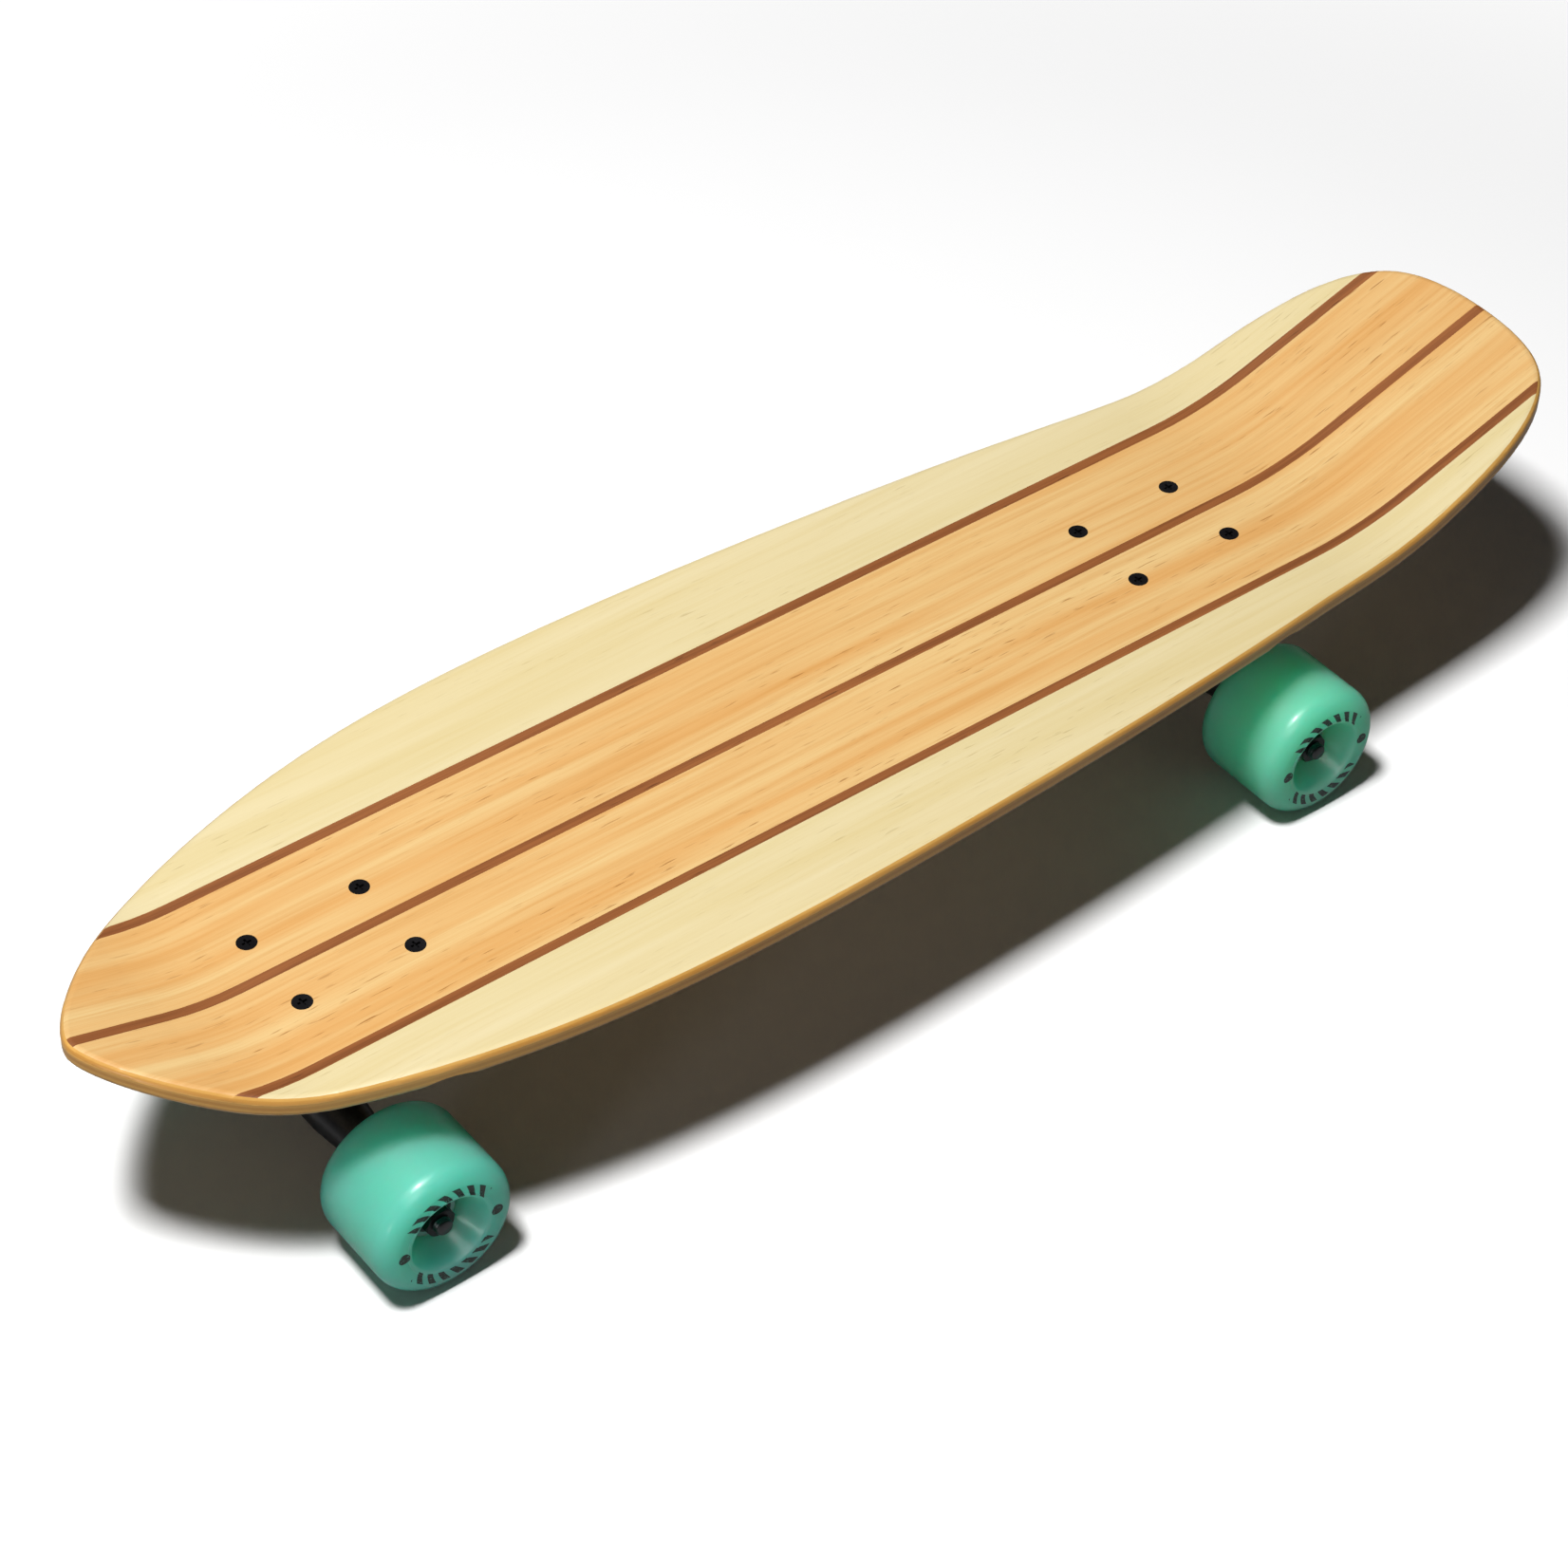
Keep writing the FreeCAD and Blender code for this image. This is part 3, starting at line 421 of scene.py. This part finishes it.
edgeValues = {
    "plyThickness": 0.0016,
    "lightPly": (0.74, 0.39, 0.085),
    "darkPly": (0.60, 0.275, 0.048),
    "endGrain": (0.44, 0.21, 0.05),
    "stain": (0.84, 0.52, 0.16),
}


def dressDeck():
    dress(["rail_panels"], varnishedWood("palePanel", woodValues["pale"]))
    dress(["centre_panels"], varnishedWood("amberPanel", woodValues["amber"]))
    dress(["inlay_stripes"], varnishedWood("walnutStripe", woodValues["walnut"]))
    dress(["bottom_veneer"], varnishedWood("undersidePly", woodValues["underside"], 0.45, 0.1))
    dress(["deck_core"], plyEdge("corePly", edgeValues))
    print("deck dressed")


# Metal and rubber

metalValues = {
    "truckBlack": {
        "color": (0.018, 0.018, 0.020), "worn": (0.075, 0.075, 0.08), "roughness": 0.38,
        "metallic": 0.0, "grainScale": 900, "bump": 0.25, "coat": 0.3,
    },
    "hardwareBlack": {
        "color": (0.015, 0.014, 0.016), "worn": (0.09, 0.085, 0.09), "roughness": 0.34,
        "metallic": 0.6, "grainScale": 1600, "bump": 0.08, "coat": 0.0,
    },
    "axleSteel": {
        "color": (0.08, 0.08, 0.083), "worn": (0.22, 0.22, 0.225), "roughness": 0.38,
        "metallic": 1.0, "grainScale": 1200, "bump": 0.08, "coat": 0.0,
    },
    "bearingSteel": {
        "color": (0.46, 0.46, 0.48), "worn": (0.60, 0.60, 0.61), "roughness": 0.2,
        "metallic": 1.0, "grainScale": 2400, "bump": 0.03, "coat": 0.0,
    },
    "cageBronze": {
        "color": (0.42, 0.33, 0.18), "worn": (0.55, 0.45, 0.28), "roughness": 0.35,
        "metallic": 1.0, "grainScale": 1500, "bump": 0.08, "coat": 0.0,
    },
    "shieldBlack": {
        "color": (0.02, 0.02, 0.022), "worn": (0.07, 0.07, 0.07), "roughness": 0.45,
        "metallic": 0.0, "grainScale": 1500, "bump": 0.06, "coat": 0.0,
    },
}


def metal(name, values):
    material, tree, shader, coords = newMaterial(name)
    grain = noise(tree, coords, values["grainScale"], 3.0, 0.6)
    cloud = noise(tree, coords, 45.0, 4.0, 0.6)
    wear = ramp(tree, cloud, [(0.52, 0.0), (0.78, 1.0)])
    scuffs = math2(tree, "MULTIPLY", wear, ramp(tree, grain, [(0.45, 0.0), (0.65, 1.0)]))
    colour = mixColour(tree, math2(tree, "MULTIPLY", scuffs, 0.5), values["color"],
                       values["worn"])
    tree.links.new(colour, shader.inputs["Base Color"])
    rough = add(tree, "MapRange", {
        "Value": cloud, "From Min": 0.3, "From Max": 0.7,
        "To Min": values["roughness"] - 0.06, "To Max": values["roughness"] + 0.1,
    }).outputs[0]
    tree.links.new(rough, shader.inputs["Roughness"])
    setInputs(shader, Metallic=values["metallic"], Coat_Weight=values["coat"],
              Coat_Roughness=0.25)
    addBump(tree, shader, grain, values["bump"], 0.0003)
    return material


def rubber(name, color, roughness):
    material, tree, shader, coords = newMaterial(name)
    grain = noise(tree, coords, 1400.0, 3.0, 0.6)
    cloud = noise(tree, coords, 60.0, 3.0)
    dusty = tuple(channel * 1.8 + 0.01 for channel in color)
    colour = mixColour(tree, math2(tree, "MULTIPLY", cloud, 0.5), color, dusty)
    tree.links.new(colour, shader.inputs["Base Color"])
    rough = add(tree, "MapRange", {
        "Value": cloud, "From Min": 0.3, "From Max": 0.7,
        "To Min": roughness - 0.08, "To Max": roughness + 0.08,
    }).outputs[0]
    tree.links.new(rough, shader.inputs["Roughness"])
    addBump(tree, shader, grain, 0.2, 0.0002)
    return material


def dressMetal():
    made = {name: metal(name, values) for name, values in metalValues.items()}
    riser = rubber("riserRubber", (0.02, 0.02, 0.02), 0.7)
    made["bushing"] = rubber("bushingUrethane", (0.03, 0.03, 0.035), 0.4)
    for end in ends:
        black = ("deck_bolts", "deck_nuts", "kingpin", "kingpin_nut", "axle_nuts",
                 "boardside_washer", "roadside_washer")
        dress([end + "_" + name for name in black], made["hardwareBlack"])
        steel = ("speed_rings", "spacers")
        dress([end + "_" + name for name in steel], made["axleSteel"])
        dress([end + "_inner_races"], made["bearingSteel"])
        dress([end + "_riser_pad"], riser)
        dress([end + "_pivot_cup"], made["bushing"])
        for side in sides:
            wheel = end + "_" + side
            dress([wheel + "_outer_races", wheel + "_balls"], made["bearingSteel"])
            dress([wheel + "_shields"], made["shieldBlack"])
            dress([wheel + "_cages"], made["cageBronze"])
    print("metal and rubber dressed")
    return made


# Turned pieces

def arcPoints(centre, radius, start, end, steps):
    # points (r, t) on an arc, with angles in degrees from the outward radius
    points = []
    for step in range(steps + 1):
        angle = math.radians(start + (end - start) * step / steps)
        points.append((
            centre[0] + radius * math.cos(angle),
            centre[1] + radius * math.sin(angle),
        ))
    return points


def finishMesh(name, shape, sharpAngle=35):
    bmesh.ops.recalc_face_normals(shape, faces=shape.faces)
    for face in shape.faces:
        face.smooth = True
    for edge in shape.edges:
        if len(edge.link_faces) == 2 and edge.calc_face_angle(0) > math.radians(sharpAngle):
            edge.smooth = False
    mesh = bpy.data.meshes.new(name)
    shape.to_mesh(mesh)
    shape.free()
    piece = bpy.data.objects.new(name, mesh)
    bpy.context.scene.collection.objects.link(piece)
    return piece


def lathe(name, profile, turns):
    # a closed ring turned about Y from a closed list of (r, t) points
    shape = bmesh.new()
    rows = []
    for turn in range(turns):
        angle = 2 * math.pi * turn / turns
        rows.append([
            shape.verts.new((r * math.cos(angle), t, r * math.sin(angle)))
            for r, t in profile
        ])
    count = len(profile)
    for row, following in zip(rows, rows[1:] + rows[:1]):
        for index in range(count):
            other = (index + 1) % count
            shape.faces.new((row[index], row[other], following[other], following[index]))
    return finishMesh(name, shape)


def alongAxis(piece, centre, axis):
    # turns a piece made about Y so that its Y lies along an axis through a centre
    turn = Vector((0, 1, 0)).rotation_difference(Vector(axis)).to_matrix().to_4x4()
    piece.matrix_world = Matrix.Translation(centre) @ turn


# Wheels

wheelValues = {
    "radius": 0.0325,
    "halfWidth": 0.02585,
    "lipRadius": 0.009,
    "mouthRadius": 0.018,
    "mouthRound": 0.002,
    "throatRadius": 0.0116,
    "seatRadius": 0.011,
    "seatDepth": 0.012,
    "ribRadius": 0.0095,
    "ribHalf": 0.005,
    "ridgeHeight": 0.0003,
    "faceEdge": 0.0006,       # where the flat of the face starts, in from the lip
    "faceStep": 0.0004,
    "throatEase": (0.0006, 0.0008),
    "turns": 160,
}

urethaneValues = {
    "front": {
        "color": (0.125, 0.455, 0.350), "deep": (0.045, 0.50, 0.31),
        "print": (0.003, 0.015, 0.01),
    },
    # the rear copy is paler and greener than the front one: painted light that makes up for the
    # deck's shade over the rear wheels, which are the same urethane as the front ones
    "rear": {
        "color": (0.145, 0.575, 0.350), "deep": (0.06, 0.56, 0.255),
        "print": (0.003, 0.015, 0.01),
    },
}

printValues = {
    "radius": 0.0222,      # middle of the printed ring
    "halfBand": 0.0026,
    "marks": 22,           # plain slanted strokes round the whole ring
    "filled": 0.52,        # how much of each step a stroke fills
    "slant": 120.0,
    "gap": 0.62,           # half the angle left bare round each dot
    "dotRadius": 0.0027,
    "faceFrom": 0.0225,    # only the outer face is printed
}


def wheelProfile(values):
    # half of the wheel's section, from the middle of the tread to the inner rib
    radius = values["radius"]
    half = values["halfWidth"]
    lip = values["lipRadius"]
    points = [(radius, 0.0), (radius, (half - lip) * 0.5)]
    points += arcPoints((radius - lip, half - lip), lip, 0, 82, 14)
    face = half - values["ridgeHeight"]
    flat = radius - lip - values["faceEdge"]
    step = values["faceStep"]
    points += [(flat, face), (flat - step, face)]
    inner = values["mouthRadius"] + values["mouthRound"]
    points += [(inner + 2 * step, face), (inner + step, half), (inner, half)]
    slope = math.atan2(values["mouthRadius"] - values["throatRadius"],
                       half - values["seatDepth"])
    points += arcPoints((inner, half - values["mouthRound"]), values["mouthRound"],
                        100, 170 - math.degrees(slope), 6)
    outward, upward = values["throatEase"]
    points += [(values["throatRadius"] + outward, values["seatDepth"] + upward)]
    points += [(values["throatRadius"], values["seatDepth"])]
    points += [(values["seatRadius"], values["seatDepth"])]
    points += [(values["seatRadius"], values["ribHalf"])]
    points += [(values["ribRadius"], values["ribHalf"])]
    return points


def printMask(tree, coords, side, values):
    # two arcs of plain strokes with a dot between them, on the wheel's outer face
    x, y, z = add(tree, "SeparateXYZ", {"Vector": coords}).outputs
    across = math2(tree, "MULTIPLY", x, x)
    radius = math2(tree, "SQRT", math2(tree, "ADD", across, math2(tree, "MULTIPLY", z, z)))
    angle = math2(tree, "ARCTAN2", z, x)
    out = math2(tree, "SUBTRACT", radius, values["radius"])
    slant = math2(tree, "MULTIPLY", out, values["slant"])
    steps = math2(tree, "MULTIPLY", angle, values["marks"] / (2 * math.pi))
    strokes = math2(tree, "FRACT", math2(tree, "ADD", steps, slant))
    strokes = math2(tree, "LESS_THAN", strokes, values["filled"])
    band = math2(tree, "LESS_THAN", math2(tree, "ABSOLUTE", out), values["halfBand"])
    fromDots = math2(tree, "ABSOLUTE", math2(tree, "SINE", angle))
    arcs = math2(tree, "GREATER_THAN", fromDots, math.sin(values["gap"]))
    strokes = math2(tree, "MULTIPLY", math2(tree, "MULTIPLY", strokes, band), arcs)
    near = math2(tree, "SUBTRACT", math2(tree, "ABSOLUTE", x), values["radius"])
    near = math2(tree, "MULTIPLY", near, near)
    near = math2(tree, "ADD", near, math2(tree, "MULTIPLY", z, z))
    dots = math2(tree, "LESS_THAN", near, values["dotRadius"] ** 2)
    printed = math2(tree, "MAXIMUM", strokes, dots)
    outer = math2(tree, "GREATER_THAN", math2(tree, "MULTIPLY", y, side), values["faceFrom"])
    return math2(tree, "MULTIPLY", printed, outer)


def urethane(name, values, side):
    # milky urethane that lets light through, with the printed ring on its outer face
    material, tree, shader, coords = newMaterial(name)
    cloud = noise(tree, coords, 40.0, 3.0)
    scuffs = noise(tree, coords, 260.0, 4.0, 0.6)
    colour = mixColour(tree, math2(tree, "MULTIPLY", cloud, 0.5), values["color"],
                       values["deep"])
    mask = printMask(tree, coords, side, printValues)
    worn = ramp(tree, noise(tree, coords, 900.0, 2.0), [(0.28, 0.5), (0.42, 1.0)])
    colour = mixColour(tree, math2(tree, "MULTIPLY", mask, worn), colour, values["print"])
    tree.links.new(colour, shader.inputs["Base Color"])
    rough = add(tree, "MapRange", {
        "Value": scuffs, "From Min": 0.3, "From Max": 0.7, "To Min": 0.32, "To Max": 0.46,
    }).outputs[0]
    tree.links.new(rough, shader.inputs["Roughness"])
    milky = math2(tree, "SUBTRACT", 1.0, math2(tree, "MULTIPLY", mask, 0.95))
    tree.links.new(milky, shader.inputs["Subsurface Weight"])
    setInputs(shader, Subsurface_Radius=(0.15, 1.0, 0.8), Subsurface_Scale=0.08, IOR=1.48,
              Coat_Weight=0.12, Coat_Roughness=0.12)
    addBump(tree, shader, scuffs, 0.015, 0.0001)
    return material


def buildWheels(values):
    half = wheelProfile(values)
    profile = half + [(r, -t) for r, t in reversed(half[1:])]
    wheels = []
    for end in ends:
        for sideName, side in sides.items():
            name = end + "_" + sideName
            wheel = lathe(name + "_urethane", profile, values["turns"])
            wheel.location = joints[name + "_spin"]["pos_m"]
            material = urethane(name + "_urethane", urethaneValues[end], side)
            wheel.data.materials.append(material)
            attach(wheel, name + "_spinner")
            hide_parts(name + "_wheel")
            wheels.append(wheel)
    print("wheels made")
    return wheels


# Bushings: the urethane that gives as the truck leans, built here as fixed turned pieces

bushingValues = {
    "lean": 25.0,              # of the kingpin, from upright
    "ringHalf": 0.005,         # half the thickness of the ring between the bushings
    "bore": 0.005,
    "board": {"height": 0.014, "atRing": 0.0118, "atWasher": 0.0118, "waist": -0.0002},
    "road": {"height": 0.010, "atRing": 0.0115, "atWasher": 0.0080, "waist": 0.0},
    "edge": 0.0008,            # rounding of the rims
    "rows": 12,
    "turns": 72,
}


def bushingProfile(values, shape):
    # t runs from the ring (0) to the washer (height)
    height = shape["height"]
    edge = values["edge"]
    outline = [(values["bore"] + edge, 0.0), (shape["atRing"] - edge, 0.0)]
    for row in range(values["rows"] + 1):
        share = row / values["rows"]
        radius = shape["atRing"] + (shape["atWasher"] - shape["atRing"]) * share
        radius += shape["waist"] * math.sin(math.pi * share)
        outline.append((radius, edge + (height - 2 * edge) * share))
    outline += [(shape["atWasher"] - edge, height), (values["bore"] + edge, height)]
    for row in range(values["rows"] + 1):
        share = 1 - row / values["rows"]
        outline.append((values["bore"], edge + (height - 2 * edge) * share))
    return outline


def kingpinAxis(end):
    lean = math.radians(bushingValues["lean"])
    return Vector((ends[end] * math.sin(lean), 0, math.cos(lean)))


def ringCentre(end):
    # the boardside bushing is a plain cylinder, so its box is centred on its axis
    low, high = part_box(end + "_boardside_bushing")
    middle = (Vector(low) + Vector(high)) / 2
    reach = bushingValues["ringHalf"] + bushingValues["board"]["height"] / 2
    return middle - kingpinAxis(end) * reach


def buildBushings(values, material):
    for end in ends:
        axis = kingpinAxis(end)
        centre = ringCentre(end)
        for name, way in (("board", 1), ("road", -1)):
            shape = values[name]
            profile = bushingProfile(values, shape)
            piece = lathe(end + "_" + name + "_bushing", profile, values["turns"])
            start = centre + axis * way * values["ringHalf"]
            alongAxis(piece, start, axis * way)
            piece.data.materials.append(material)
            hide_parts("%s_%sside_bushing" % (end, name))
            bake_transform(piece)
    print("bushings made")


# Cast truck parts

castValues = {
    "voxel": 0.0007,     # fineness of the cast surface
    "smoothing": 9,      # rounds inner and outer corners, as a casting has
    "keep": 0.55,        # share of the faces kept afterwards
}


def castPiece(node, name, body, material, values):
    source = nodes[node]
    piece = bpy.data.objects.new(name, source.data.copy())
    bpy.context.scene.collection.objects.link(piece)
    remesh = piece.modifiers.new("cast", "REMESH")
    remesh.mode = "VOXEL"
    remesh.voxel_size = values["voxel"]
    remesh.use_smooth_shade = True
    smooth = piece.modifiers.new("corners", "SMOOTH")
    smooth.factor = 0.5
    smooth.iterations = values["smoothing"]
    lighter = piece.modifiers.new("lighter", "DECIMATE")
    lighter.ratio = values["keep"]
    bpy.context.view_layer.update()
    view = bpy.context.evaluated_depsgraph_get()
    mesh = bpy.data.meshes.new_from_object(piece.evaluated_get(view))
    piece.modifiers.clear()
    piece.data = mesh
    for face in mesh.polygons:
        face.use_smooth = True
    mesh.materials.clear()
    mesh.materials.append(material)
    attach(piece, body)
    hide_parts(node)
    return piece


def buildCastings(material):
    for end in ends:
        castPiece(end + "_hanger", end + "_cast_hanger", end + "_truck_hanger", material,
                  castValues)
        castPiece(end + "_baseplate", end + "_cast_baseplate", "deck", material, castValues)
    print("trucks cast")


# Threads

threadValues = {
    "turns": 48,         # points round the rod
    "perPitch": 6,       # points along each turn of the thread
    "axle": {
        "radius": 0.004, "pitch": 0.00125, "depth": 0.00045, "length": 0.012,
        "chamfer": 0.0007,
    },
}


def threadedRod(name, half, values, fineness):
    # a rod along Y with a helical thread at both ends
    radius = values["radius"]
    step = values["pitch"] / fineness["perPitch"]
    count = round(values["length"] / step)
    inner = half - count * step
    stations = [-half + index * step for index in range(count + 1)]
    stations += [inner + index * step for index in range(count + 1)]
    shape = bmesh.new()
    rows = []
    for place in stations:
        row = []
        fromEnd = half - abs(place)
        limit = radius - max(0.0, values["chamfer"] - fromEnd)
        fade = min(1.0, (values["length"] - fromEnd) / (2 * values["pitch"]))
        for turn in range(fineness["turns"]):
            share = turn / fineness["turns"]
            phase = (place / values["pitch"] - share) % 1.0
            groove = values["depth"] * (1 - abs(2 * phase - 1)) * max(0.0, fade)
            reach = min(limit, radius - groove)
            angle = 2 * math.pi * share
            row.append(shape.verts.new((reach * math.cos(angle), place,
                                        reach * math.sin(angle))))
        rows.append(row)
    for row, following in zip(rows, rows[1:]):
        for index in range(fineness["turns"]):
            other = (index + 1) % fineness["turns"]
            shape.faces.new((row[index], row[other], following[other], following[index]))
    for row in (rows[0], rows[-1]):
        shape.faces.new(row)
    return finishMesh(name, shape, 50)


def buildAxles(material):
    for end in ends:
        low, high = (Vector(corner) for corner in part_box(end + "_axle"))
        rod = threadedRod(end + "_threaded_axle", (high.y - low.y) / 2,
                          threadValues["axle"], threadValues)
        rod.location = (low + high) / 2
        rod.data.materials.append(material)
        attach(rod, end + "_truck_hanger")
        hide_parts(end + "_axle")
    print("axles threaded")


# Building everything

makeStudio(studioValues)
dressDeck()
finishes = dressMetal()
lightOnly(buildWheels(wheelValues), studioValues)
buildBushings(bushingValues, finishes["bushing"])
buildCastings(finishes["truckBlack"])
buildAxles(finishes["axleSteel"])
